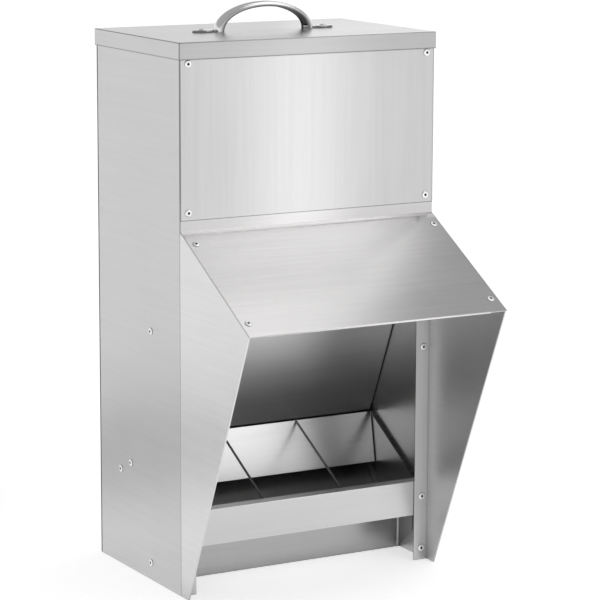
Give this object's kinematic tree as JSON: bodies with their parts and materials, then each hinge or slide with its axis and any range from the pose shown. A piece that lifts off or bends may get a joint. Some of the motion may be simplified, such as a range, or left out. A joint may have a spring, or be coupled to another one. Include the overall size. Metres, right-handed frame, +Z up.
{
  "type": "gravity poultry feeder",
  "caption": "Free-standing sheet-metal gravity feeder for poultry: tall hopper with lift-off lid, sloping baffle, covered feeding opening and divided trough.",
  "frame": {"origin": "bottom centre of the feeder's bounding box, on the ground plane", "axes": "+Z up, -Y towards the birds (the hood's lip), +X to the right when facing the feeding side"},
  "size_m": [0.3036, 0.3446, 0.6058],
  "materials": {
    "galvanised_sheet": "fine brushed, semi-bright galvanised sheet",
    "wire": "bright drawn wire",
    "plated_handle": "polished plated steel",
    "rivet": "satin domed blind rivets"
  },
  "bodies": {
    "feeder_body": {"side_panel_left": "galvanised_sheet", "side_panel_right": "galvanised_sheet", "back_panel": "galvanised_sheet", "front_cover": "galvanised_sheet", "hood_panel": "galvanised_sheet", "cheek_left": "galvanised_sheet", "cheek_right": "galvanised_sheet", "baffle": "galvanised_sheet", "throat_plate": "galvanised_sheet", "trough_pan": "galvanised_sheet", "trough_end_plate_left": "galvanised_sheet", "trough_end_plate_right": "galvanised_sheet", "rear_ramp": "galvanised_sheet", "kick_panel": "galvanised_sheet", "divider_wire_left": "wire", "divider_wire_right": "wire", "cover_rivets": "rivet", "hood_rivets": "rivet", "cheek_strip_rivets_left": "rivet", "cheek_strip_rivets_right": "rivet", "side_rivets_left": "rivet", "side_rivets_right": "rivet", "back_rivets": "rivet"},
    "lid_assembly": {"lid": "galvanised_sheet", "lid_handle": "plated_handle", "handle_rivets": "rivet"}
  },
  "joints": [
    {"name": "lid_lift", "type": "slide", "parent": "feeder_body", "child": "lid_assembly", "axis": [0, 0, 1], "range_m": [0, 0.15]}
  ]
}
